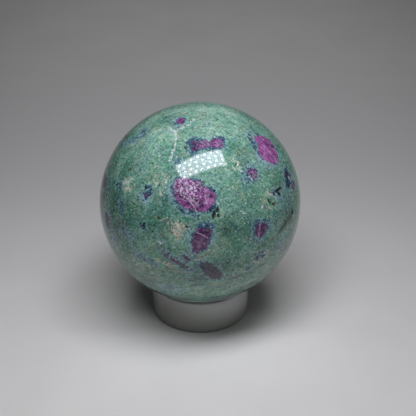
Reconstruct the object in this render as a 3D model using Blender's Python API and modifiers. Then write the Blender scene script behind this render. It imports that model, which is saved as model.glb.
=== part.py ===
"""A polished ruby fuchsite kyanite sphere, resting on a clear acrylic ring stand.

Metres, +Z up. The origin is on the ground, at the centre of the ring's foot.
"""

import math

import bmesh
import bpy

# The driving dimensions
SPHERE_RADIUS = 0.032
RING_OUTER_RADIUS = 0.016
RING_WALL = 0.003
RING_HEIGHT = 0.0113
SEAT_CHAMFER = 0.0017
EDGE_RADIUS = 0.0003
REST_GAP = 0.0003

# How finely the round shapes are faceted
SPHERE_SUBDIVISIONS = 5
RING_STEPS = 96
EDGE_STEPS = 3
MERGE_DISTANCE = 0.00001
SHARP_ANGLE = math.radians(25)

# The seat is the chamfer's top edge, and the sphere stands a hair off it
RING_INNER_RADIUS = RING_OUTER_RADIUS - RING_WALL
SEAT_RADIUS = RING_INNER_RADIUS + SEAT_CHAMFER
SPHERE_CENTRE_Z = RING_HEIGHT + math.sqrt((SPHERE_RADIUS + REST_GAP) ** 2 - SEAT_RADIUS**2)

FUCHSITE_GREEN = (0.16, 0.30, 0.22, 1.0)
CLEAR_ACRYLIC = (0.86, 0.88, 0.87, 0.35)


def clear_scene():
    """Removes whatever the file opened with."""
    for obj in list(bpy.data.objects):
        bpy.data.objects.remove(obj)


def new_collection(name):
    """A collection for the whole object, linked to the scene."""
    collection = bpy.data.collections.new(name)
    bpy.context.scene.collection.children.link(collection)
    return collection


def add_to(collection, obj):
    """Links an object to the collection alone."""
    for other in list(obj.users_collection):
        other.objects.unlink(obj)
    collection.objects.link(obj)
    return obj


def principled(name, colour, roughness, metallic=0.0, transmission=0.0, ior=1.5):
    """A material with one Principled BSDF."""
    material = bpy.data.materials.new(name)
    material.use_nodes = True
    shader = material.node_tree.nodes["Principled BSDF"]
    shader.inputs["Base Color"].default_value = colour
    shader.inputs["Roughness"].default_value = roughness
    shader.inputs["Metallic"].default_value = metallic
    shader.inputs["Transmission Weight"].default_value = transmission
    shader.inputs["IOR"].default_value = ior
    material.diffuse_color = colour
    return material


def arc(centre_r, centre_z, start_deg, end_deg):
    """Points of a rounded edge of the ring's section, as (radius, height)."""
    points = []
    for step in range(EDGE_STEPS + 1):
        angle = math.radians(start_deg + (end_deg - start_deg) * step / EDGE_STEPS)
        points.append(
            (
                centre_r + EDGE_RADIUS * math.cos(angle),
                centre_z + EDGE_RADIUS * math.sin(angle),
            )
        )
    return points


def ring_section():
    """The ring's closed section, down the outside, across the foot and up the bore."""
    outer = RING_OUTER_RADIUS - EDGE_RADIUS
    inner = RING_INNER_RADIUS + EDGE_RADIUS
    top_edge = arc(outer, RING_HEIGHT - EDGE_RADIUS, 90, 0)
    foot_outer_edge = arc(outer, EDGE_RADIUS, 0, -90)
    foot_inner_edge = arc(inner, EDGE_RADIUS, -90, -180)
    seat = [(RING_INNER_RADIUS, RING_HEIGHT - SEAT_CHAMFER), (SEAT_RADIUS, RING_HEIGHT)]
    return top_edge + foot_outer_edge + foot_inner_edge + seat


def make_ring_stand(collection):
    """The stand: a short clear tube, with its bore chamfered into a seat."""
    mesh = bpy.data.meshes.new("ring_stand")
    section = bmesh.new()
    corners = [section.verts.new((r, 0.0, z)) for r, z in ring_section()]
    for corner, following in zip(corners, corners[1:] + corners[:1]):
        section.edges.new((corner, following))
    section.to_mesh(mesh)
    section.free()

    ring = add_to(collection, bpy.data.objects.new("ring_stand", mesh))
    turn = ring.modifiers.new("turn", "SCREW")
    turn.axis = "Z"
    turn.angle = math.tau
    turn.steps = RING_STEPS
    turn.render_steps = RING_STEPS
    turn.use_merge_vertices = True
    turn.merge_threshold = MERGE_DISTANCE
    turn.use_smooth_shade = False
    mesh.materials.append(
        principled("clear_acrylic", CLEAR_ACRYLIC, roughness=0.04, transmission=1.0, ior=1.49)
    )
    return ring


def make_sphere(collection):
    """The stone: one polished ball, standing in the ring's seat."""
    bpy.ops.mesh.primitive_ico_sphere_add(
        subdivisions=SPHERE_SUBDIVISIONS,
        radius=SPHERE_RADIUS,
        location=(0.0, 0.0, SPHERE_CENTRE_Z),
    )
    sphere = add_to(collection, bpy.context.object)
    sphere.name = "sphere"
    sphere.data.name = "sphere"
    sphere.data.shade_smooth()
    sphere.data.set_sharp_from_angle(angle=SHARP_ANGLE)
    sphere.data.materials.append(principled("ruby_fuchsite_kyanite", FUCHSITE_GREEN, roughness=0.12))
    return sphere


def main():
    clear_scene()
    collection = new_collection("ruby_fuchsite_kyanite_sphere")
    make_ring_stand(collection)
    make_sphere(collection)


main()
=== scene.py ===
"""Looks of a polished ruby fuchsite kyanite sphere, resting on its clear acrylic ring stand.

The scene is in metres. The stone's pattern is laid out in millimetres.
"""
import math
from collections import namedtuple

import bmesh
import bpy
import numpy as np
from mathutils import Matrix, Vector


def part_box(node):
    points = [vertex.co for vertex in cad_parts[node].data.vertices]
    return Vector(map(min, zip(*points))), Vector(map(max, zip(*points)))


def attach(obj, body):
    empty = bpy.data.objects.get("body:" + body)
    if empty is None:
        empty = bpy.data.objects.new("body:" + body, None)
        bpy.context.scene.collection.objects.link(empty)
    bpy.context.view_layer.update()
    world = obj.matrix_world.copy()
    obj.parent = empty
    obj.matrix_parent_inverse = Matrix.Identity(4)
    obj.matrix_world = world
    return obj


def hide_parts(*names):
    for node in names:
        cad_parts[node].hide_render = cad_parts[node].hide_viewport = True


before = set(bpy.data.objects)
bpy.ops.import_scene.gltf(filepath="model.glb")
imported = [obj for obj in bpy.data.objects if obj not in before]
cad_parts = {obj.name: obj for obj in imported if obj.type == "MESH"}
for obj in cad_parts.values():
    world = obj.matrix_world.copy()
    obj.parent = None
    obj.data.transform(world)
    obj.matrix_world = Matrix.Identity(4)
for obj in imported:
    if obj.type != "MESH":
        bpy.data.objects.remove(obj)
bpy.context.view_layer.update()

MM = 0.001

# The photograph's frame, and where the stone stands in it, in pixels
FRAME_PIXELS = 416
FRAME_MIDDLE = FRAME_PIXELS / 2
STONE_COLUMN = 200.1
STONE_ROW = 201.9

# The camera: how far from the stone, in stone radii, how far above the horizon, and its lens
CAMERA_DISTANCE = 11
CAMERA_ELEVATION = math.radians(29.8)
FOCAL_PIXELS = 1100.9
SENSOR_WIDTH = 36

# The light panel: its direction from the stone, in the camera's own right, up and back, its size as the
# stone sees it, how many lamps it has each way, how they slant, and how bright they and their sheet are
PANEL_TOWARDS = (0.014, 0.668, 0.744)
PANEL_DISTANCE = 0.32
PANEL_WIDTH = math.radians(51)
PANEL_HEIGHT = math.radians(22)
PANEL_TURN = math.radians(23)
PANEL_RADIANCE = 11.2
LAMPS_ALONG = 7.9
LAMPS_ACROSS = 2.3
LAMPS_LEAN = 0.45
LAMP_LIGHT = (2.1, 2.0, 1.45)
SHEET_LIGHT = (0.74, 0.752, 0.875)

# The room's light: all round, from above, and from the front and right
ROOM_ROUND = 0.016
ROOM_ABOVE = 0.07
ROOM_FRONT = 0.132
ROOM_FRONT_TOWARDS = (0.75, -0.6, 0.28)

# The stone's mesh: cells along each side of the cube that it is blown up from, and how much of its square
# each side fills on the flat map
CELLS = 126
SIDE_FILLS = 0.985

# How far from its middle a patch is laid out flat, and the depth that means outside every patch, in mm
PATCH_REACH = 14
FAR = 9.0

# Which way the streaks in the rubies run: as the great ruby's do in the photograph, and across them. Their
# press is how much of a length along them is taken away
STREAKS_ALONG = (0.79, -0.31, -0.53)
STREAKS_ACROSS = (0.5, 0.43, 0.75)
STREAK_PRESS = 0.72

# How far grains of one mineral stray over its patch's edge and into the next, in mm, from all to none
GRAIN_REACH = 1.2

# Line widths on the stone, and the heights between which its flowing grey bands set in, in mm
VEIN_WIDTH = 0.74
PARTING_WIDTH = 0.32
BANDS_FROM = 42
BANDS_FULL = 32

# The ring's section, as in the CAD
RING_WALL = 0.003
SEAT_CHAMFER = 0.0017
RING_EDGE = 0.0003

# How finely the ring is made, how far beside each rounded edge a line keeps the faces flat, and how much
# its painted shade leans to the left
RING_STEPS = 256
EDGE_STEPS = 6
EDGE_SUPPORT = 0.0001
SHADE_SLANT = 0.46

# Half the floor's width
FLOOR_REACH = 1.6

stone_low, stone_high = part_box("sphere")
ring_low, ring_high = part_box("ring_stand")
STONE_RADIUS = (stone_high.x - stone_low.x) / 2
STONE_MIDDLE = (stone_high + stone_low) / 2
RING_OUTER = (ring_high.x - ring_low.x) / 2
RING_HEIGHT = ring_high.z

CAMERA_BACK = Vector((0, -math.cos(CAMERA_ELEVATION), math.sin(CAMERA_ELEVATION)))
CAMERA_RIGHT = Vector((1, 0, 0))
CAMERA_UP = CAMERA_BACK.cross(CAMERA_RIGHT)
CAMERA_SPOT = STONE_MIDDLE + CAMERA_BACK * CAMERA_DISTANCE * STONE_RADIUS

# A ruby. Its tone is how bright its colour is, from 0 to 1, its rim is about the width of the blue kyanite
# round it, in mm, its outline is in the photograph's pixels, and its share is how many of its grains are ruby
Patch = namedtuple("Patch", "tone rim outline share", defaults=(1.0,))

RUBIES = {
    "great": Patch(0.57, 0.7, (
        (173, 186), (174.6, 181.3), (177.3, 178.8), (182.7, 177.8), (188, 178.3), (193, 180.2),
        (197.2, 179.2), (200, 182), (202.5, 185.6), (206.8, 187.7), (210.5, 190.9), (214.8, 193.6),
        (216.4, 198), (213.2, 203.2), (210.5, 207), (206.8, 210.7), (202.5, 212.6), (197.1, 212.4),
        (193.9, 209.5), (186.4, 208.6), (181.1, 205.4), (176.8, 200.6), (174.1, 195.2))),
    "bar_left": Patch(0.36, 1.1, (
        (190.8, 142.5), (191.5, 141), (199, 140.8), (201, 141.5), (200.5, 147), (197.8, 150.8),
        (196.5, 151.2), (192, 150.6), (191, 149.4)), 0.66),
    "bar_middle": Patch(0.48, 0.9, (
        (196, 140.6), (205, 140.8), (214, 139.2), (215, 147), (205, 148), (197, 148.4)), 0.63),
    "bar_right": Patch(0.56, 0.8, (
        (209.5, 141), (213.5, 139.3), (220.5, 138.2), (222.4, 138.6), (223.4, 147), (222.4, 148.4),
        (216.5, 147.6), (210, 146)), 0.71),
    "bright": Patch(0.8, 0.3, (
        (253.3, 136.3), (258.7, 136), (266, 137.3), (272, 142.5), (276, 150.5), (279.3, 163),
        (273.5, 164.3), (269, 163), (262.5, 159.3), (259.3, 153.6), (256.8, 143.6))),
    "small_right": Patch(0.44, 0.4, (
        (246, 170), (251, 169), (257, 169), (257.4, 175), (256.8, 181), (253.4, 179.6),
        (249.6, 175.8)), 0.7),
    "lower": Patch(0.42, 0.5, (
        (197.6, 228), (204, 228), (213, 228.6), (209.8, 237), (208.4, 242), (207.6, 246.6),
        (205.8, 249.6), (200, 249.2), (195.2, 253.2), (192.2, 251.5), (191.4, 240), (194.1, 233))),
    "right": Patch(0.42, 0.6, (
        (256.7, 223.3), (262, 222.5), (266.6, 224.1), (267.2, 229.8), (262.4, 236.3), (257.5, 239.8),
        (254.2, 233.1))),
    "slate": Patch(0.205, 0.2, (
        (202.2, 261.5), (210.3, 262.5), (216, 267.5), (221, 270.5), (222.5, 277), (213.6, 280.2),
        (205.4, 275), (199.3, 268))),
    "low_streak": Patch(0.24, 0.2, (
        (160, 250), (166, 253.5), (173, 258), (181, 262), (189, 267), (194, 272), (188, 269.5),
        (179, 264.5), (169, 259), (161, 253.5)), 0.62),
    "low_middle": Patch(0.25, 0.2, ((182, 253.5), (187, 256), (191, 260), (188, 261), (183, 258)), 0.65),
    "crown": Patch(0.52, 0.3, (
        (177, 121), (179.5, 118), (183.5, 117.3), (185, 120), (184.3, 123.6), (179.5, 124.3),
        (176.6, 123.4))),
    "fleck": Patch(0.4, 0.2, (
        (144.3, 193.5), (146.4, 193.2), (147.2, 196.5), (145.4, 198), (143.9, 196.8))),
    "left_edge": Patch(0.34, 0.4, (
        (103.5, 171), (106, 169), (107, 178), (106.2, 187), (104, 189), (102, 180))),
    "left_edge_low": Patch(0.3, 0.4, (
        (104.8, 212), (107.5, 212), (109.3, 221), (110, 229), (107, 227), (105, 220))),
    "right_edge": Patch(0.3, 1.1, (
        (285.8, 170), (288.3, 172), (289.2, 178), (288.2, 182), (286.2, 178))),
    "right_edge_low": Patch(0.45, 0.4, (
        (292.3, 181), (294.4, 182), (294.8, 188), (293.3, 191), (292.2, 187))),
    # Dark plum slivers along the stone's lower edge, just above the ring, drawn as rubies
    "under_left": Patch(0.3, 0.2, (
        (153, 288.8), (161, 293), (170, 296.6), (182, 299.6), (182, 301.5), (168, 298.5), (157, 293.5),
        (151, 289.5))),
    "under_front": Patch(0.3, 0.2, (
        (207, 300), (216, 299.6), (229, 296.8), (229, 299.5), (216, 302), (207, 302.5))),
    "under_right": Patch(0.3, 0.2, (
        (240, 292.3), (251, 287.6), (261, 281), (262, 283), (252, 289.6), (240, 295.5))),
}

# Kyanite that stands beside the rubies or alone: its tone, the share of its grains that are blue, and its
# outline in pixels
KYANITES = {
    "great_right": (0.35, 0.9, (
        (206.5, 186.5), (212, 187), (217, 192), (218.5, 196), (214, 194.5), (209, 190.5))),
    "great_low_right": (0.2, 1.0, (
        (204, 211), (209, 206.5), (214, 203.5), (217, 206), (214, 211.5), (207, 214))),
    "great_left": (0.75, 0.7, (
        (168.5, 187), (172, 183), (173, 191), (175, 200), (181, 205), (188, 209.5), (186, 212.5),
        (178, 207.5), (171.5, 201), (169.5, 194))),
    "great_below": (0.35, 0.6, (
        (176, 205), (184, 208.5), (196, 213), (204, 213), (196, 217), (184, 213))),
    "bar_left": (0.2, 1.0, (
        (188, 143.5), (193, 140.5), (196, 144), (196.5, 151), (192, 153), (187.5, 149))),
    "bar_right": (0.3, 0.9, (
        (216, 137), (222.5, 136), (226, 141), (224.5, 147), (222, 142), (218, 139.5))),
    "bar_below": (0.3, 0.6, (
        (197, 151), (205, 147.5), (214, 147.5), (214, 150.5), (205, 150.5), (199, 153.5))),
    "bright_left": (0.34, 0.9, (
        (246.3, 132.6), (249.5, 133), (253, 138.5), (256.4, 146), (258.4, 152.5), (256, 151),
        (251.5, 142.5))),
    "bright_below": (0.85, 0.6, (
        (256, 151), (260, 158), (266, 162.5), (273, 165.5), (270, 169), (261, 164), (256, 157))),
    "small_left": (0.55, 0.8, (
        (241.5, 170), (246.5, 171.5), (251, 177.5), (254, 183), (246.5, 182), (242.5, 177))),
    "small_above": (0.95, 0.7, ((246, 168), (252, 165.5), (258, 168.5), (257.5, 173), (251, 168.5))),
    "lower_cap": (0.4, 0.85, (
        (196, 222.5), (204, 221.5), (212.5, 223), (215.5, 227), (212, 230), (205, 229), (197, 229))),
    "lower_left": (0.7, 0.45, ((186, 233), (192, 228), (196, 230), (192.5, 238), (189, 246), (184, 241))),
    "lower_right": (0.85, 0.7, (
        (211, 230.5), (214.5, 230), (212.5, 238), (209.5, 246), (207.5, 246), (209.5, 238))),
    "right_cap": (0.35, 0.8, (
        (253.5, 221), (258, 219.5), (266, 219.5), (269, 224), (266, 226), (256, 224))),
    "right_foot": (0.45, 0.5, ((252, 234), (256, 239), (262, 240), (258, 243), (252, 240))),
    "right_edge": (0.05, 1.0, (
        (284, 166), (288, 169), (291, 176), (290.5, 188), (287.5, 190), (284.5, 180))),
    "right_streak": (0.8, 0.9, (
        (271, 188.5), (273, 188.5), (277, 194), (281, 201), (279.5, 201.5), (275, 195.5))),
    "right_edge_haze": (0.7, 0.05, (
        (279, 186), (288, 184), (291, 196), (289, 210), (282, 212), (278, 198))),
    "slate_cap": (0.3, 0.7, ((197.5, 263), (202, 259.5), (207, 261), (201, 265), (199, 269))),
    "upper_left": (0.6, 0.55, ((142.5, 127.5), (147.5, 129), (147.5, 134.5), (142, 136), (139.5, 132.5))),
    "upper_left_dot": (0.15, 1.0, ((143.4, 129.8), (145.6, 130), (146, 132.8), (144, 133.8), (143, 132))),
    "upper_left_low": (0.7, 0.5, ((133, 139), (139, 134.5), (142, 136.5), (137, 141), (131, 144.5))),
    "upper_left_edge": (0.6, 0.5, ((124, 142), (130, 138.5), (134, 139.5), (129, 144), (124, 147))),
    "by_highlight": (0.7, 0.7, ((176, 159.5), (180, 159), (181.5, 162.5), (177.5, 164.5), (175, 162.5))),
    "crown_side": (0.75, 0.45, (
        (174, 119), (179, 116.5), (185.5, 117.5), (186, 121), (181, 125.5), (175, 124))),
    "fleck_left": (0.32, 0.86, (
        (146, 184.5), (150.5, 185), (152, 190), (149.8, 196.8), (147, 199.4), (144, 198), (144.2, 191))),
    "fleck_haze": (0.95, 0.62, (
        (139.5, 192.5), (144, 194.5), (147.5, 198.5), (148.5, 203.5), (143, 203), (140, 198))),
    "dot_left": (0.05, 1.0, ((139.5, 222), (144, 222), (146.5, 226.5), (142.5, 229))),
    "dot_edge": (0.15, 0.6, ((117, 182), (120.5, 181), (122, 187), (119, 190))),
    "dot_edge_low": (0.3, 0.5, ((119, 199), (123, 199), (124, 212), (122, 216), (119, 208))),
    "low_left_band": (0.6, 0.34, (
        (119.5, 229), (127, 228.5), (135, 234), (133, 238), (124, 237.5), (119, 233.5))),
    "low_streak": (0.45, 0.6, (
        (169, 255), (174, 257.5), (181, 263), (188, 267.5), (194, 271), (190, 271.5), (180, 266.5),
        (172, 260))),
    "low_streak_left": (0.5, 0.4, (
        (134, 252), (142, 254), (150, 259), (158, 264), (150, 263.5), (138, 257.5))),
    "low_streak_over": (0.45, 0.45, (
        (158, 248), (165, 250), (172, 255), (178, 258), (170, 258), (161, 253.5))),
    "low_dash": (0.15, 0.8, ((244, 268.5), (251, 264.5), (253, 266.5), (246, 271.5))),
    "low_swirl": (0.3, 0.7, ((253, 258), (259, 252.5), (267, 251), (265, 255.5), (258, 261))),
    "low_middle": (0.6, 0.4, ((181, 256), (188, 254), (192, 258), (187, 262), (182, 260.5))),
    "low_left_haze": (0.8, 0.4, (
        (158, 284), (168, 283), (181, 287), (183, 293), (172, 293.5), (160, 289.5))),
    "left_edge_band": (0.55, 0.4, ((106, 226), (112, 229), (121, 243), (117, 247), (109, 238))),
    "right_low_band": (0.8, 0.3, ((281, 236), (286, 233), (284, 244), (276, 253), (275, 247))),
}

# Cream feldspar: the share of its grains that are cream, and its outline in pixels
CREAMS = {
    "blob": (1.0, (
        (173, 223), (177, 219.5), (180.5, 223.5), (185, 222.5), (187.5, 228), (183.5, 232), (182, 239.5),
        (177.5, 242), (174.5, 236), (171, 229))),
    "tail": (0.6, (
        (157.5, 215.5), (164, 216), (171, 219.5), (176, 221.5), (173, 225), (165, 221.5),
        (158.5, 219.5))),
    "oval": (0.3, ((121.5, 184), (125, 177.5), (131, 177), (134.5, 182), (133, 189.5), (126.5, 191.5))),
    "dots_upper": (0.24, (
        (229, 157), (234, 156), (238, 162), (243, 170), (241.5, 174), (236, 170), (231, 163))),
    "dots_right": (0.26, ((264, 194), (272, 190), (279, 195), (277, 207), (268, 208), (263, 203))),
    "low_swirl": (0.4, ((250, 254), (260, 248.5), (270, 249.5), (266, 259), (254, 264))),
    "great_beside": (0.18, ((150, 176), (160, 173), (168, 177), (168, 186), (160, 196), (152, 190))),
    "low_left": (0.3, (
        (122, 252), (134, 256), (150, 266), (164, 273), (156, 275), (138, 266), (124, 258))),
    "low_line_left": (0.6, (
        (157, 258), (166, 261.5), (175, 265.5), (174, 267.5), (164, 264.5), (156, 260.5))),
    "low_line": (0.4, ((196, 258), (203, 252), (208, 249), (210, 251), (203, 257), (197, 263))),
}

# White veins, each a row of places in the photograph's pixels
VEINS = (
    ((170.2, 160), (171.6, 156), (172.4, 152.5), (174.6, 147.5), (175.8, 142.5), (176.1, 137),
     (176.5, 131.5)),
    ((176.5, 131.5), (172.5, 130), (168.8, 127.5)),
    ((176.5, 131.5), (180.5, 128.5), (185, 126.5), (191, 123.5), (194, 119.5)),
)

# Pale lines where a ruby parts
PARTINGS = (
    ((264, 146), (271, 154), (278, 163)),
    ((196.8, 232.8), (202, 234.4), (208, 238.6)),
    ((260.4, 221), (259.6, 229), (258.4, 238)),
    ((180, 193.3), (187, 197.5), (192, 203.5), (196.5, 212)),
    ((183.5, 192.5), (190, 197), (196, 203.5)),
)

# Pits in the polish: place in pixels, half length and half width in mm, turn in degrees, and depth in mm
PITS = (
    (278.8, 189.8, 1.5, 0.42, 0, 0.5),
    (279, 193.8, 0.95, 0.4, -65, 0.45),
    (274.3, 194, 0.7, 0.36, 90, 0.3),
    (269.5, 201.5, 1.0, 0.34, -75, 0.35),
    (273.8, 204.6, 0.6, 0.42, -40, 0.3),
    (292.6, 212.4, 0.9, 0.5, 50, 0.35),
    (217.8, 210, 0.8, 0.34, 80, 0.4),
    (213.8, 214.8, 1.1, 0.38, 70, 0.45),
    (218.6, 215.8, 0.6, 0.36, -60, 0.35),
    (158.5, 217.5, 0.6, 0.4, 0, 0.3),
    (185.5, 147, 0.8, 0.38, -50, 0.3),
    (186.5, 226.5, 0.5, 0.35, 20, 0.3),
    (236, 165, 0.6, 0.36, 20, 0.25),
    (256, 199, 0.5, 0.35, 20, 0.2),
    (240, 155, 0.5, 0.35, 40, 0.2),
)

# White flecks: place in pixels, half length and half width in mm, and turn in degrees
FLECKS = (
    (243.7, 212.8, 1.5, 0.45, -35),
    (160.7, 242.8, 0.7, 0.6, 0),
    (166, 182, 0.6, 0.45, 30),
    (160.5, 155.5, 0.9, 0.35, 60),
    (253.5, 194.5, 0.6, 0.4, 0),
    (262.5, 207, 0.7, 0.45, 0),
    (289.5, 179, 1.4, 0.4, -80),
    (241.5, 171, 0.8, 0.4, -75),
    (251, 178.5, 1.5, 0.34, -64),
    (108.3, 191.5, 0.6, 0.45, 0),
    (246, 203, 0.7, 0.35, 50),
    (218, 203.5, 0.6, 0.35, -60),
    (277.5, 188.5, 0.9, 0.35, 45),
    (217.2, 213, 0.6, 0.35, 75),
    (265, 253, 1.2, 0.35, 25),
    (178, 156.5, 0.6, 0.4, 0),
)

# Where fine pale lines lie close together in a ruby, and where bright flakes stand as painted glints of the
# panel, strongest in the great ruby's upper left: place, half sizes in pixels, turn in degrees, amount
PALE_LINES_AND_GLINTS = (
    (182, 184, 11, 8, -15, 1.0),
    (196, 189, 12, 9, -25, 0.85),
    (186, 197, 9, 6, -30, 0.4),
    (205, 202, 8, 5, 0, 0.4),
    (266, 157, 8, 5, -50, 0.2),
    (200, 244, 6, 5, 0, 0.3),
    (252, 174, 6, 6, 0, 0.5),
    (207, 144.5, 15, 4, 5, 0.6),
)

# Lighter and darker areas: place in pixels, half sizes in pixels, turn in degrees, and how much lighter
GROUNDS = (
    (180.5, 195.5, 7, 2.4, -42, -0.3),
    (201.5, 203.5, 5, 3.5, -40, -0.2),
    (209, 204, 4, 3, 20, 0.35),
    (206, 195, 7, 3, 0, 0.12),
    (186, 203, 8, 2, -40, 0.2),
    (270.5, 146, 9, 3, -55, -0.3),
    (263, 158, 5, 3, -30, 0.2),
    (203, 231, 5, 2.5, -5, -0.15),
    (206, 267, 4, 4, 0, -0.12),
    (217, 274, 5, 4, 0, 0.1),
    (102, 196, 16, 30, 0, -0.3),
    (158, 137, 16, 11, 20, 0.16),
    (140, 158, 24, 22, 0, 0.11),
    (200, 108, 60, 10, 0, 0.12),
    (215, 112, 60, 22, 0, 0.14),
    (128, 184, 6, 8, 0, 0.28),
    (118, 205, 16, 45, 5, -0.2),
    (201, 165, 26, 9, 24, -0.08),
    (232, 190, 18, 22, 0, 0.04),
    (250, 264, 26, 14, 10, 0.08),
    (150, 215, 26, 18, 20, -0.16),
    (232, 232, 30, 16, 10, -0.15),
    (230, 262, 32, 12, 12, -0.14),
    (288, 205, 10, 28, 0, -0.12),
    (290.5, 216, 7, 2.4, 38, -0.45),
    (283, 227, 9, 2.6, 28, -0.45),
)

# The hidden side, made up in the same style: azimuth and elevation in degrees, half length and half
# width in mm, turn in degrees, tone and rim
HIDDEN_RUBIES = (
    (97, -6, 4.2, 2.6, 70, 0.5, 1.0),
    (112, 20, 2.4, 1.5, 35, 0.35, 0.8),
    (126, 44, 5.0, 3.0, -25, 0.8, 1.0),
    (140, -14, 3.8, 2.0, 15, 0.55, 0.9),
    (160, 16, 6.0, 3.6, 40, 0.7, 1.1),
    (178, 60, 3.2, 1.6, -60, 0.9, 0.7),
    (186, -16, 2.6, 1.8, 80, 0.35, 0.8),
    (206, 32, 4.6, 2.2, 10, 0.6, 1.0),
    (224, -4, 5.2, 2.8, -35, 0.85, 0.9),
    (238, 48, 2.6, 1.5, 25, 0.65, 0.8),
    (250, 16, 3.4, 2.4, 60, 0.45, 1.0),
    (262, -22, 4.2, 2.1, -10, 0.6, 0.9),
    (70, -38, 3.2, 1.8, 30, 0.5, 0.8),
    (118, -48, 4.0, 2.4, 45, 0.6, 0.9),
    (196, -50, 3.4, 2.0, -30, 0.5, 0.8),
    (300, -46, 3.0, 1.8, 15, 0.4, 0.8),
    (20, -62, 2.6, 1.6, 0, 0.35, 0.7),
)
HIDDEN_VEINS = (
    ((118, -2), (124, 8), (128, 20), (134, 30)),
    ((176, 44), (184, 34), (190, 22), (192, 8)),
    ((190, 22), (198, 18), (204, 10)),
    ((236, 12), (232, 24), (226, 38)),
    ((150, -40), (164, -34), (176, -36)),
)

# How many small spots of kyanite the hidden side has, the half sizes in mm of its lighter and darker areas,
# and the seed that all random draws start from
HIDDEN_SPOTS = 26
HIDDEN_AREA = (9, 6)
SEED = 5


def colour(red, green, blue):
    """A colour as a photo editor names it, from 0 to 255, in the linear values that a shader takes."""
    def linear(value):
        share = value / 255
        return share / 12.92 if share <= 0.04045 else ((share + 0.055) / 1.055) ** 2.4

    return (linear(red), linear(green), linear(blue), 1.0)


def is_vector(value):
    """Whether a value is a vector or a colour, and not one number."""
    return isinstance(value, tuple) or isinstance(value, Signal) and value.socket.type != "VALUE"


class Signal:
    """A node's output. Arithmetic on it adds Math nodes, or Vector Math nodes where a side is a vector."""

    def __init__(self, finish, socket):
        self.finish = finish
        self.socket = socket

    def maths(self, operation, *values, output=0):
        kind = "ShaderNodeVectorMath" if any(is_vector(value) for value in values) else "ShaderNodeMath"
        return self.finish.node(kind, {"operation": operation}, dict(enumerate(values)), output)

    def times(self, other):
        """A vector times a number goes through Scale, so that nothing is converted on the way."""
        if is_vector(self) == is_vector(other) or not isinstance(other, (Signal, tuple)):
            return self.maths("MULTIPLY", self, other)
        vector, number = (self, other) if is_vector(self) else (other, self)
        return self.finish.node("ShaderNodeVectorMath", {"operation": "SCALE"}, {0: vector, "Scale": number})

    def __add__(self, other):
        return self.maths("ADD", self, other)

    def __radd__(self, other):
        return self.maths("ADD", other, self)

    def __sub__(self, other):
        return self.maths("SUBTRACT", self, other)

    def __rsub__(self, other):
        return self.maths("SUBTRACT", other, self)

    def __mul__(self, other):
        return self.times(other)

    def __rmul__(self, other):
        return self.times(other)

    def __abs__(self):
        return self.maths("ABSOLUTE", self)

    def fraction(self):
        return self.maths("FRACTION", self)

    def dot(self, other):
        return self.maths("DOT_PRODUCT", self, other, output="Value")

    def length(self):
        return self.maths("LENGTH", self, output="Value")

    def part(self, index):
        """One of a colour's three numbers."""
        return self.finish.node("ShaderNodeSeparateColor", {}, {0: self}, index)

    def least(self, other):
        return self.maths("MINIMUM", self, other)

    def most(self, other):
        return self.maths("MAXIMUM", self, other)

    def fade(self, low, high):
        """Goes smoothly from 0 at low to 1 at high."""
        settings = {"interpolation_type": "SMOOTHSTEP"}
        if low < high:
            return self.finish.node("ShaderNodeMapRange", settings, {"Value": self, 1: low, 2: high})
        return 1 - self.fade(high, low)


class Finish:
    """One node tree, and the method that adds a node to it."""

    def __init__(self, tree):
        self.tree = tree
        self.tree.nodes.clear()

    def node(self, kind, settings, sockets, output=0):
        """Adds a node: its settings are set first, then the values or links of its sockets."""
        node = self.tree.nodes.new(kind)
        for name, value in settings.items():
            if name == "stops":
                self.set_stops(node.color_ramp, value)
            else:
                setattr(node, name, value)
        for key, value in sockets.items():
            socket = node.inputs[key]
            if isinstance(value, Signal):
                self.tree.links.new(value.socket, socket)
            elif hasattr(socket.default_value, "__len__") and not hasattr(value, "__len__"):
                socket.default_value = (value,) * len(socket.default_value)
            else:
                socket.default_value = value
        return Signal(self, node.outputs[output]) if node.outputs else None

    def set_stops(self, ramp, stops):
        while len(ramp.elements) < len(stops):
            ramp.elements.new(0.5)
        for element, (place, tone) in zip(ramp.elements, stops):
            element.position = place
            element.color = tone

    def noise(self, place, size, detail=2.0, output=0):
        """Cloudy noise of about this size, in the units of place."""
        sockets = {"Vector": place, "Scale": 1 / size, "Detail": detail}
        return self.node("ShaderNodeTexNoise", {}, sockets, output)

    def cells(self, place, size, output=1, feature="F1"):
        """Grains of about this size. Output 1 is a colour drawn for each grain."""
        sockets = {"Vector": place, "Scale": 1 / size}
        return self.node("ShaderNodeTexVoronoi", {"feature": feature}, sockets, output)

    def ramp(self, value, stops):
        return self.node("ShaderNodeValToRGB", {"stops": stops}, {0: value})

    def cover(self, under, over, mask):
        """One colour laid over another where the mask is 1."""
        return self.node("ShaderNodeMix", {"data_type": "RGBA"}, {0: mask, 6: under, 7: over}, 2)

    def bumps(self, height):
        """The normal that goes with heights in mm."""
        sockets = {"Strength": 1.0, "Distance": MM, "Height": height}
        return self.node("ShaderNodeBump", {}, sockets, "Normal")

    def read(self, name):
        """A number that the mesh holds at each of its points."""
        return self.node("ShaderNodeAttribute", {"attribute_name": name}, {}, "Fac")

    def place_in_mm(self):
        return self.node("ShaderNodeTexCoord", {}, {}, "Object") * (1 / MM)

    def line_gap(self, place, start, end):
        """How far a place is from the straight line between two points."""
        along = end - start
        from_start = place - tuple(start)
        share = from_start.dot(tuple(along / along.length_squared))
        share = self.node("ShaderNodeClamp", {}, {0: share})
        return (from_start - share * tuple(along)).length()


def material(name):
    made = bpy.data.materials.new(name)
    made.use_nodes = True
    return made, Finish(made.node_tree)


def give_surface(finish, shader):
    finish.node("ShaderNodeOutputMaterial", {}, {"Surface": shader})


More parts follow.
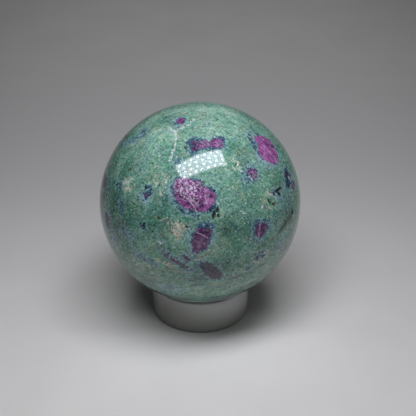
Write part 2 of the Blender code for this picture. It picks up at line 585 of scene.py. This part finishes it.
def seen_at(column, row):
    """The direction from the stone's middle to the spot that the photograph shows at this pixel."""
    across = (column - STONE_COLUMN) / FOCAL_PIXELS
    up = (STONE_ROW - row) / FOCAL_PIXELS
    ray = (CAMERA_RIGHT * across + CAMERA_UP * up - CAMERA_BACK).normalized()
    start = CAMERA_BACK * CAMERA_DISTANCE
    middle = -start.dot(ray)
    inside = middle**2 - (start.length_squared - 1)
    return (start + ray * (middle - math.sqrt(max(inside, 0)))).normalized()


def faces_towards(azimuth, elevation):
    """A direction from the stone's middle, from degrees. Azimuth 0 is the front and 90 the right."""
    turn, rise = math.radians(azimuth), math.radians(elevation)
    return Vector((math.sin(turn) * math.cos(rise), -math.cos(turn) * math.cos(rise), math.sin(rise)))


def flat_axes(towards):
    """Two axes across the stone's surface at this direction: level, and up the stone."""
    level = Vector((0, 0, 1)).cross(towards)
    level = level.normalized() if level.length > 0.01 else Vector((1, 0, 0))
    return level, towards.cross(level)


def flattened(directions, towards):
    """Places near this direction, as mm across and up the plane that touches the stone there.

    Which of the places are near comes with them.
    """
    level, up = flat_axes(towards)
    radius = STONE_RADIUS / MM
    depth = directions @ np.array(towards)
    near = depth > math.cos(PATCH_REACH / radius)
    across = directions[near] @ np.array(level)
    rise = directions[near] @ np.array(up)
    return radius * np.stack([across, rise], axis=1) / depth[near, None], near


def rounded(outline):
    """An outline with its corners cut off twice."""
    points = np.array(outline)
    for _ in range(2):
        following = np.roll(points, -1, axis=0)
        cut = np.stack([0.75 * points + 0.25 * following, 0.25 * points + 0.75 * following], axis=1)
        points = cut.reshape(-1, 2)
    return points


def depth_inside(points, outline):
    """How far each point lies inside a closed outline, in mm, and less than 0 outside."""
    along = np.roll(outline, -1, axis=0) - outline
    hair = 1e-9
    along[np.abs(along[:, 1]) < hair, 1] = hair
    from_start = points[:, None] - outline
    share = np.clip((from_start * along).sum(axis=2) / (along**2).sum(axis=1), 0, 1)
    gap = np.linalg.norm(from_start - share[..., None] * along, axis=2).min(axis=1)
    level = from_start[..., 1] / along[:, 1]
    crosses = (level >= 0) & (level < 1) & (from_start[..., 0] < level * along[:, 0])
    return np.where(crosses.sum(axis=1) % 2, gap, -gap)


def photo_patch(outline):
    """A patch from its outline in pixels: its direction, and its outline in mm on the plane there."""
    spots = [seen_at(*pixel) for pixel in outline]
    towards = sum(spots, Vector()).normalized()
    flat, _ = flattened(np.array([tuple(s) for s in spots]), towards)
    return towards, rounded(flat)


def made_up_patch(azimuth, elevation, half_length, half_width, turn, draw):
    """A blocky crystal, made up: its direction, and an uneven outline of five to eight sides in mm."""
    sides = draw.integers(5, 9)
    angles = np.linspace(0, math.tau, sides, endpoint=False) + draw.uniform(-0.3, 0.3, sides)
    reach = draw.uniform(0.7, 1.25, sides)
    flat = np.stack([half_length * reach * np.cos(angles), half_width * reach * np.sin(angles)], axis=1)
    lean = math.radians(turn)
    turned = flat @ np.array([[math.cos(lean), math.sin(lean)], [-math.sin(lean), math.cos(lean)]])
    return faces_towards(azimuth, elevation), rounded(turned)


class StoneMap:
    """What the mesh holds at each point of the stone, as one number each."""

    def __init__(self, directions):
        self.directions = directions
        self.values = {}

    def start(self, name, value):
        self.values[name] = np.full(len(self.directions), value)

    def add_patch(self, name, patch, share=1.0, **tones):
        """Keeps the depth inside the patch where no other is deeper, and that patch's tones with it.

        The share is how many of its grains belong to it: a patch of few grains counts as shallow.
        """
        towards, outline = patch
        flat, near = flattened(self.directions, towards)
        depth = np.full(len(self.directions), -FAR)
        depth[near] = depth_inside(flat, outline)
        if share < 1:
            depth = np.minimum(depth, (share - 0.5) * GRAIN_REACH)
        wins = depth > self.values[name]
        self.values[name] = np.where(wins, depth, self.values[name])
        for tone, value in tones.items():
            self.values[tone] = np.where(wins, value, self.values[tone])

    def add_glow(self, name, towards, half_length, half_width, turn, amount=1.0):
        """Adds an amount that fades away from a place."""
        level, up = flat_axes(towards)
        lean = math.radians(turn)
        long_axis = level * math.cos(lean) + up * math.sin(lean)
        wide_axis = up * math.cos(lean) - level * math.sin(lean)
        radius = STONE_RADIUS / MM
        along = radius * (self.directions @ np.array(long_axis)) / half_length
        across = radius * (self.directions @ np.array(wide_axis)) / half_width
        in_front = self.directions @ np.array(towards) > 0
        self.values[name] = self.values[name] + in_front * amount * np.exp(-(along**2) - across**2)


def map_stone(directions):
    """All patches and marks of the stone, from the photograph in front and made up behind."""
    draw = np.random.default_rng(SEED)
    stone = StoneMap(directions)
    for name in ("ruby", "kyanite", "cream"):
        stone.start(name, -FAR)
    for name in ("ruby_tone", "rim", "kyanite_tone", "lighter", "pit", "white", "frost"):
        stone.start(name, 0.0)

    for patch in RUBIES.values():
        stone.add_patch("ruby", photo_patch(patch.outline), patch.share, ruby_tone=patch.tone, rim=patch.rim)
    for *place, tone, rim in HIDDEN_RUBIES:
        stone.add_patch("ruby", made_up_patch(*place, draw), ruby_tone=tone, rim=rim)

    for tone, share, outline in KYANITES.values():
        stone.add_patch("kyanite", photo_patch(outline), share, kyanite_tone=tone)
    for share, outline in CREAMS.values():
        stone.add_patch("cream", photo_patch(outline), share)
    for _ in range(HIDDEN_SPOTS):
        place = (draw.uniform(100, 260), draw.uniform(-55, 60))
        size = (draw.uniform(0.8, 2.4), draw.uniform(0.5, 1.1), draw.uniform(-90, 90))
        tone, share = draw.uniform(0.1, 0.8), draw.uniform(0.35, 0.95)
        stone.add_patch("kyanite", made_up_patch(*place, *size, draw), share, kyanite_tone=tone)
    for _ in range(HIDDEN_SPOTS // 4):
        place = (draw.uniform(105, 255), draw.uniform(-40, 55))
        size = (draw.uniform(1.5, 3.2), draw.uniform(1.0, 1.8), draw.uniform(-90, 90))
        stone.add_patch("cream", made_up_patch(*place, *size, draw), draw.uniform(0.35, 0.85))

    pixel = CAMERA_DISTANCE * STONE_RADIUS / MM / FOCAL_PIXELS
    marks = (("lighter", pixel, GROUNDS), ("frost", pixel, PALE_LINES_AND_GLINTS), ("pit", 1, PITS), ("white", 1, FLECKS))
    for name, unit, rows in marks:
        for column, row, half_length, half_width, *rest in rows:
            stone.add_glow(name, seen_at(column, row), half_length * unit, half_width * unit, *rest)
    for _ in range(HIDDEN_SPOTS // 2):
        towards = faces_towards(draw.uniform(95, 265), draw.uniform(-50, 60))
        size = (draw.uniform(0.5, 1.1), draw.uniform(0.3, 0.5), draw.uniform(-90, 90))
        stone.add_glow("pit", towards, *size, 0.3)
        turn, amount = draw.uniform(-90, 90), draw.uniform(-0.15, 0.15)
        stone.add_glow("lighter", towards, *HIDDEN_AREA, turn, amount)
    return stone.values


def make_stone():
    """A cube of even cells, blown up to a ball and carved by its pits."""
    shape = bmesh.new()
    bmesh.ops.create_cube(shape, size=2)
    bmesh.ops.subdivide_edges(shape, edges=shape.edges[:], cuts=CELLS - 1, use_grid_fill=True)
    mesh = bpy.data.meshes.new("sphere_polished")
    shape.to_mesh(mesh)
    shape.free()

    count = len(mesh.vertices)
    cube = np.empty(count * 3)
    mesh.vertices.foreach_get("co", cube)
    cube = cube.reshape(-1, 3)
    bent = np.tan(cube * math.pi / 4)
    directions = bent / np.linalg.norm(bent, axis=1, keepdims=True)

    values = map_stone(directions)
    radius = STONE_RADIUS - values["pit"] * MM
    places = directions * radius[:, None] + np.array(STONE_MIDDLE)
    mesh.vertices.foreach_set("co", places.ravel())
    for name, value in values.items():
        held = mesh.attributes.new(name, "FLOAT", "POINT")
        held.data.foreach_set("value", value.astype(np.float32))
    lay_out_sides(mesh, cube)
    mesh.shade_smooth()
    mesh.update()
    return mesh


def lay_out_sides(mesh, cube):
    """A map of six squares, one for each side of the cube that the ball was made from."""
    corners = np.empty(len(mesh.loops), int)
    mesh.loops.foreach_get("vertex_index", corners)
    sides = cube[corners].reshape(-1, 4, 3)
    middle = sides.mean(axis=1)
    axis = np.abs(middle).argmax(axis=1)
    front = np.take_along_axis(middle, axis[:, None], axis=1)[:, 0] > 0
    others = np.array([[1, 2], [2, 0], [0, 1]])[axis]
    flat = np.take_along_axis(sides, others[:, None, :].repeat(4, axis=1), axis=2)
    spots = (flat * SIDE_FILLS + 1) / 2
    spots[..., 0] = (spots[..., 0] + axis[:, None]) / 3
    spots[..., 1] = (spots[..., 1] + front[:, None]) / 2
    layer = mesh.uv_layers.new(name="OFBake")
    layer.data.foreach_set("uv", spots.ravel())


# What the stone's minerals share: places in mm, the same stirred, three sizes of grain with a random colour
# for each, and how far the coarse ones stray over an edge
Rock = namedtuple("Rock", "place stirred grains fine specks stray")


def rock_patterns(f):
    place = f.place_in_mm()
    stirred = place + (f.noise(place, 2.2, 2.0, output=1) - 0.5) * 1.5
    grains = f.cells(stirred, 0.62)
    fine = f.cells(stirred, 0.34)
    specks = f.cells(place, 0.42)
    return Rock(place, stirred, grains, fine, specks, (grains.part(2) - 0.5) * GRAIN_REACH)


def green_ground(f, rock):
    """Fuchsite: small flakes from dark green to mint, with cream, brown and blue grains among them.

    Its tone comes with it, for the cream feldspar.
    """
    place, grains, fine = rock.place, rock.grains, rock.fine
    clouds = f.noise(place, 7.0, 3.0)
    tone = 0.5 + (grains.part(0) - 0.5) * 0.18 + (fine.part(0) - 0.5) * 0.26
    tone = tone + (f.noise(place, 1.7, 3.0) - 0.5) * 0.3 + (clouds - 0.5) * 0.4 + f.read("lighter")
    ground = f.ramp(tone, (
        (0.05, colour(30, 62, 53)),
        (0.28, colour(61, 102, 88)),
        (0.50, colour(103, 148, 131)),
        (0.72, colour(144, 184, 166)),
        (0.95, colour(194, 212, 192)),
    ))
    leaf = f.ramp(tone, (
        (0.1, colour(24, 72, 52)),
        (0.5, colour(72, 138, 112)),
        (0.9, colour(140, 194, 166)),
    ))
    warm = f.ramp(tone, (
        (0.1, colour(56, 60, 46)),
        (0.5, colour(132, 146, 120)),
        (0.9, colour(204, 204, 180)),
    ))
    steel = f.ramp(tone, (
        (0.1, colour(36, 54, 80)),
        (0.5, colour(92, 124, 146)),
        (0.9, colour(168, 192, 204)),
    ))
    areas = f.noise(place, 5.0, 2.0, output=1)
    ground = f.cover(ground, leaf, (grains.part(1) + (areas.part(2) - 0.5) * 2.4).fade(0.5, 1.0) * 0.7)
    ground = f.cover(ground, warm, (fine.part(1) + (areas.part(1) - 0.5) * 1.6).fade(0.8, 0.95) * 0.7)
    ground = f.cover(ground, steel, (fine.part(2) + (areas.part(0) - 0.5) * 1.2).fade(0.86, 0.98) * 0.7)

    low = place.dot((0, 0, 1)).fade(BANDS_FROM, BANDS_FULL)
    bands = f.noise(place * (0.18, 0.18, 1.0), 1.2, 3.0, output=1)
    ground = f.cover(ground, colour(88, 84, 102), bands.part(0).fade(0.52, 0.66) * low * 0.65)
    ground = f.cover(ground, colour(160, 160, 142), bands.part(1).fade(0.53, 0.68) * low * 0.55)
    return ground, tone


def lay_cream(f, rock, under, tone):
    """Cream feldspar, as light as the ground that it lies on."""
    cream = f.ramp(tone, (
        (0.25, colour(72, 84, 72)),
        (0.42, colour(158, 160, 144)),
        (0.62, colour(200, 200, 184)),
    ))
    mask = (f.read("cream") + rock.stray).fade(-0.12, 0.12) * (rock.fine.part(2) + 0.4).fade(0.3, 0.8)
    return f.cover(under, cream, mask * 0.9)


def ruby_colours(f, rock):
    """Ruby from slate and plum to magenta, with streaks, fine pale lines that cross, and bright flakes that
    are painted glints.
    """
    tone = f.read("ruby_tone")
    along = combed(rock.stirred, STREAKS_ALONG)
    across = combed(rock.stirred, STREAKS_ACROSS)
    streaks = f.noise(along, 0.75, 3.0)
    shade = tone + f.read("lighter") + (rock.fine.part(1) - 0.5) * 0.26 + (streaks - 0.5) * 1.5
    shade = shade.most(tone.fade(0.2, 0.3) * 0.32)
    body = f.ramp(shade, (
        (0.0, colour(34, 44, 50)),
        (0.27, colour(96, 100, 106)),
        (0.32, colour(62, 38, 70)),
        (0.44, colour(86, 46, 88)),
        (0.64, colour(112, 58, 114)),
        (1.0, colour(156, 84, 150)),
    ))
    frost = f.read("frost")
    flaky = f.cells(along, 1.0, 0, "DISTANCE_TO_EDGE").fade(0.13, 0.02)
    crossing = f.cells(across, 1.4, 0, "DISTANCE_TO_EDGE").fade(0.09, 0.01)
    lines = (f.noise(rock.place, 0.9, 2.0) + frost * 0.1).fade(0.42, 0.66) * tone.fade(0.15, 0.7)
    lines = flaky.most(crossing) * lines * (0.3 + frost * 0.1)
    # Bright flakes: painted glints of the panel, where the amount of pale lines and glints is high
    glint_flakes = (rock.specks.part(2) + frost * 0.07).fade(0.8, 0.92) * frost.least(1.0)
    return f.cover(body, colour(220, 200, 226), lines.most(glint_flakes * 0.82))


def kyanite_colours(f, rock, tone):
    """Blue kyanite grains, from navy to pale grey blue."""
    shade = tone + (rock.grains.part(0) - 0.5) * 0.5 + (rock.fine.part(0) - 0.5) * 0.4
    return f.ramp(shade, (
        (0.0, colour(24, 34, 54)),
        (0.3, colour(44, 68, 96)),
        (0.6, colour(78, 114, 136)),
        (1.0, colour(148, 176, 184)),
    ))


def lay_crystals(f, rock, under):
    """Kyanite, then the rubies in their rims of it. How far the ruby and the blue reach comes with them."""
    ruby_depth = f.read("ruby") + (f.noise(rock.place, 0.9, 2.0) - 0.5) * 0.9 + rock.stray * 0.3
    kyanite_depth = f.read("kyanite") + rock.stray
    broken = (f.noise(rock.place, 2.4, 2.0) - 0.32) * 4.2
    rim_depth = ruby_depth + f.read("rim") * broken + rock.stray * 0.45
    blue = kyanite_depth.most(rim_depth) + (rock.fine.part(1) - 0.5) * 1.2
    blue_layers = (
        (0.9, blue.fade(-0.9, 0.0) * 0.55),
        (f.read("kyanite_tone"), kyanite_depth.fade(-0.1, 0.1) * 0.92),
        (0.4, rim_depth.fade(-0.05, 0.15) * 0.85),
    )
    for tone, mask in blue_layers:
        under = f.cover(under, kyanite_colours(f, rock, tone), mask)
    ruby = ruby_depth.fade(-0.06, 0.12)
    return f.cover(under, ruby_colours(f, rock), ruby), ruby, blue


def line_mask(f, place, lines, width):
    """1 on these lines and 0 a width away from them. A line is a row of points in mm."""
    nearest = None
    for line in lines:
        for start, end in zip(line, line[1:]):
            gap = f.line_gap(place, start, end)
            nearest = gap if nearest is None else nearest.least(gap)
    return nearest.fade(width, width * 0.3)


def on_stone(direction):
    """The place in mm where this direction leaves the stone."""
    return (STONE_MIDDLE + direction * STONE_RADIUS) / MM


def combed(place, along):
    """Places pressed together in one direction, so that what is drawn there is long in it."""
    return place - place.dot(along) * tuple(Vector(along) * STREAK_PRESS)


def lay_veins(f, rock, under):
    """White veins and flecks, and the pale lines where a ruby parts."""
    veins = [[on_stone(seen_at(*pixel)) for pixel in line] for line in VEINS]
    veins += [[on_stone(faces_towards(*spot)) for spot in line] for line in HIDDEN_VEINS]
    partings = [[on_stone(seen_at(*pixel)) for pixel in line] for line in PARTINGS]
    shaken = rock.place + (f.noise(rock.place, 1.0, 3.0, output=1) - 0.5) * 1.4
    vein = line_mask(f, shaken, veins, VEIN_WIDTH) * f.noise(rock.place, 0.9, 2.0).fade(0.26, 0.46)
    vein = vein.most(f.read("white") * 1.2)
    vein = (vein * (0.1 + rock.fine.part(0) * 0.6 + rock.grains.part(1) * 0.6)).fade(0.25, 0.8)
    under = f.cover(under, colour(206, 214, 220), vein * 0.78)
    return f.cover(under, colour(196, 186, 202), line_mask(f, shaken, partings, PARTING_WIDTH) * 0.5)


def stone_finish():
    made, f = material("ruby_fuchsite_kyanite")
    rock = rock_patterns(f)
    colours, tone = green_ground(f, rock)
    colours = lay_cream(f, rock, colours, tone)
    colours, ruby, blue = lay_crystals(f, rock, colours)
    colours = lay_veins(f, rock, colours)

    dark = rock.specks.part(0).fade(0.95, 0.97) * (1 - ruby)
    bright = rock.specks.part(1).fade(0.98, 0.995) * blue.fade(0.1, -0.3)
    # Pits: rougher, and coloured near black as painted shade in their hollows
    pit = (f.read("pit") + (rock.fine.part(2) - 0.5) * 0.14).fade(0.07, 0.15)
    colours = f.cover(colours, colour(26, 34, 34), dark * 0.7)
    colours = f.cover(colours, colour(206, 214, 200), bright * 0.55)
    colours = f.cover(colours, colour(14, 18, 14), pit * 0.95)

    shader = f.node("ShaderNodeBsdfPrincipled", {}, {
        "Base Color": colours,
        "Roughness": 0.05 + dark * 0.1 + pit * 0.4,
        "Normal": f.bumps(f.noise(rock.place, 1.5, 1.0) * 0.001),
        "IOR": 1.54,
        "Specular Tint": (0.92, 0.95, 1.0, 1.0),
    })
    give_surface(f, shader)
    return made


def ring_section():
    """The ring's outline as (radius, height), anticlockwise, with rounded edges and the seat's chamfer."""
    inner = RING_OUTER - RING_WALL
    corners = (
        (inner, 0),
        (RING_OUTER, 0),
        (RING_OUTER, RING_HEIGHT),
        (inner + SEAT_CHAMFER, RING_HEIGHT),
        (inner, RING_HEIGHT - SEAT_CHAMFER),
    )
    points = []
    for index, corner in enumerate(corners):
        here = Vector(corner)
        back = (Vector(corners[index - 1]) - here).normalized()
        ahead = (Vector(corners[(index + 1) % len(corners)]) - here).normalized()
        half = back.angle(ahead) / 2
        reach = RING_EDGE / math.tan(half)
        middle = here + (back + ahead).normalized() * RING_EDGE / math.sin(half)
        first = (here + back * reach - middle).normalized()
        last = (here + ahead * reach - middle).normalized()
        points.append(here + back * (reach + EDGE_SUPPORT))
        for step in range(EDGE_STEPS + 1):
            points.append(middle + first.slerp(last, step / EDGE_STEPS) * RING_EDGE)
        points.append(here + ahead * (reach + EDGE_SUPPORT))
    return points


def make_ring():
    section = ring_section()
    places = []
    for step in range(RING_STEPS):
        turn = math.tau * step / RING_STEPS
        places += [(r * math.cos(turn), r * math.sin(turn), z) for r, z in section]
    count = len(section)
    faces = []
    for step in range(RING_STEPS):
        here = step * count
        following = (step + 1) % RING_STEPS * count
        for index in range(count):
            after = (index + 1) % count
            faces.append((here + index, following + index, following + after, here + after))
    mesh = bpy.data.meshes.new("ring_polished")
    mesh.from_pydata(places, [], faces)
    mesh.shade_smooth()
    mesh.update()
    return mesh


def ring_finish():
    """Hazy clear acrylic, with painted shade that darkens it towards its foot and its left, and painted light
    up to white at its top.
    """
    made, f = material("clear_acrylic")
    place = f.place_in_mm()
    turned = f.noise(place * (0.15, 0.15, 1.0), 0.25, 2.0)
    # Painted light and shade: darker towards the foot and the left, lighter up to white at the top edge
    painted_shade_tone = f.ramp(place.dot((SHADE_SLANT * MM / RING_OUTER, 0, MM / RING_HEIGHT)), (
        (0.0, colour(200, 202, 196)),
        (0.4, colour(212, 214, 208)),
        (0.6, colour(224, 226, 220)),
        (0.85, colour(242, 244, 240)),
        (1.0, colour(255, 255, 255)),
    ))
    shader = f.node("ShaderNodeBsdfPrincipled", {}, {
        "Base Color": painted_shade_tone,
        "Roughness": 0.06,
        "IOR": 1.49,
        "Subsurface Weight": 1.0,
        "Subsurface Radius": (1.0, 1.0, 1.0),
        "Subsurface Scale": 0.003,
        "Transmission Weight": 0.6,
        "Normal": f.bumps(turned * 0.0006),
    })
    give_surface(f, shader)
    return made


def add_object(name, data):
    made = bpy.data.objects.new(name, data)
    bpy.context.scene.collection.objects.link(made)
    return made


def add_piece(name, mesh, finish, node):
    piece = add_object(name, mesh)
    mesh.materials.append(finish)
    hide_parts(node)
    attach(piece, "root")


def add_camera():
    pixel = CAMERA_DISTANCE * STONE_RADIUS / FOCAL_PIXELS
    aim = STONE_MIDDLE + CAMERA_RIGHT * (FRAME_MIDDLE - STONE_COLUMN) * pixel
    aim -= CAMERA_UP * (FRAME_MIDDLE - STONE_ROW) * pixel
    lens = bpy.data.cameras.new("camera")
    lens.sensor_width = SENSOR_WIDTH
    lens.lens = FOCAL_PIXELS / FRAME_PIXELS * SENSOR_WIDTH
    lens.clip_start = 0.01
    camera = add_object("camera", lens)
    camera.location = CAMERA_SPOT
    camera.rotation_euler = (aim - CAMERA_SPOT).to_track_quat("-Z", "Y").to_euler()
    bpy.context.scene.camera = camera


def add_panel():
    """A soft panel of small lamps behind a diffuser, above the camera."""
    right, up, back = PANEL_TOWARDS
    towards = (CAMERA_RIGHT * right + CAMERA_UP * up + CAMERA_BACK * back).normalized()
    level = CAMERA_RIGHT - towards * towards.dot(CAMERA_RIGHT)
    level.normalize()
    rise = towards.cross(level)
    if rise.dot(CAMERA_UP) < 0:
        rise = -rise
    along = level * math.cos(PANEL_TURN) + rise * math.sin(PANEL_TURN)
    across = towards.cross(along)

    width = 2 * PANEL_DISTANCE * math.tan(PANEL_WIDTH / 2)
    height = 2 * PANEL_DISTANCE * math.tan(PANEL_HEIGHT / 2)
    light = bpy.data.lights.new("panel", "AREA")
    light.shape = "RECTANGLE"
    light.size = width
    light.size_y = height
    light.energy = PANEL_RADIANCE * math.pi * width * height
    light.use_nodes = True
    f = Finish(light.node_tree)
    glow, ends = lamp_rows(f, width, height)
    shader = f.node("ShaderNodeEmission", {}, {"Color": glow, "Strength": ends})
    f.node("ShaderNodeOutputLight", {}, {"Surface": shader})

    panel = add_object("panel", light)
    turn = Matrix((along, across, towards)).transposed().to_4x4()
    panel.matrix_world = Matrix.Translation(STONE_MIDDLE + towards * PANEL_DISTANCE) @ turn


def lamp_rows(f, width, height):
    """What shines from the panel: its colour, with slanting rows of lamps, and how it dims at its edges."""
    spot = f.node("ShaderNodeNewGeometry", {}, {}, "Parametric") - (0.5, 0.5, 0)
    stretch = height / LAMPS_ACROSS * LAMPS_ALONG / width
    lean = spot.dot((0, LAMPS_LEAN * stretch * LAMPS_ACROSS, 0))
    gap = None
    for shift in ((0.25, 0.25, 0), (0.0, 0.75, 0)):
        place = spot * (LAMPS_ALONG, LAMPS_ACROSS, 0) - lean * (1, 0, 0) + shift
        cell = place.fraction() - (0.5, 0.5, 0)
        reach = cell * (1.0, stretch, 0) + cell.dot((0, stretch, 0)) * (LAMPS_LEAN, 0, 0)
        gap = reach.length() if gap is None else gap.least(reach.length())
    ends = abs(spot.dot((1, 0, 0))).fade(0.5, 0.44) * abs(spot.dot((0, 1, 0))).fade(0.5, 0.37)
    return gap.fade(0.27, 0.02) * LAMP_LIGHT + SHEET_LIGHT, ends


def add_room():
    """Soft grey light from above and from the front, dimmer all round."""
    world = bpy.data.worlds.new("room")
    bpy.context.scene.world = world
    world.use_nodes = True
    f = Finish(world.node_tree)
    towards = f.node("ShaderNodeTexCoord", {}, {}, "Generated")
    grey = ROOM_ROUND + towards.dot((0, 0, 1)).fade(0, 1) * ROOM_ABOVE
    grey = grey + towards.dot(ROOM_FRONT_TOWARDS).fade(0, 1) * ROOM_FRONT
    shader = f.node("ShaderNodeBackground", {}, {"Color": (0.98, 0.98, 1.0, 1.0), "Strength": grey})
    f.node("ShaderNodeOutputWorld", {}, {"Surface": shader})


def add_floor():
    """A wide sheet of pale paper with painted light and shade: darker far behind and to the sides, where the
    light falls off, a painted shadow beside the ring and painted light just before it.
    """
    corners = [(FLOOR_REACH * x, FLOOR_REACH * y, 0) for x, y in ((-1, -1), (1, -1), (1, 1), (-1, 1))]
    mesh = bpy.data.meshes.new("floor")
    mesh.from_pydata(corners, [], [(0, 1, 2, 3)])
    made, f = material("pale_paper")
    place = f.place_in_mm()
    tone = f.ramp(f.noise(place, 30, 3.0), ((0.3, colour(204, 203, 200)), (0.7, colour(210, 209, 206))))
    back = place.dot((0, 1, 0))
    aside = abs(place.dot((1, 0, 0)))
    # Masks for a painted shadow on the paper beside the ring and painted light just before it
    painted_shadow_by_ring = aside.fade(27, 20) * back.fade(-9, 0) * back.fade(16, 8)
    painted_light_before_ring = aside.fade(60, 15) * back.fade(-11, -20) * back.fade(-75, -22)
    # Painted shade far behind and to the sides, where the light falls off, then the painted shadow and
    # painted light by the ring
    painted_light_and_shade = (
        (colour(181, 181, 179), back.fade(-40, 110) * back.fade(320, 110)),
        (colour(112, 112, 110), aside.fade(20, 300)),
        (colour(96, 97, 94), painted_shadow_by_ring * 0.36),
        (colour(238, 238, 235), painted_light_before_ring * 0.36),
    )
    for shade, mask in painted_light_and_shade:
        tone = f.cover(tone, shade, mask)
    shader = f.node("ShaderNodeBsdfPrincipled", {}, {"Base Color": tone, "Roughness": 0.65})
    give_surface(f, shader)
    mesh.materials.append(made)
    add_object("floor", mesh)


bpy.context.scene.view_settings.view_transform = "Standard"
add_camera()
add_panel()
add_room()
add_floor()
add_piece("sphere_polished", make_stone(), stone_finish(), "sphere")
add_piece("ring_polished", make_ring(), ring_finish(), "ring_stand")
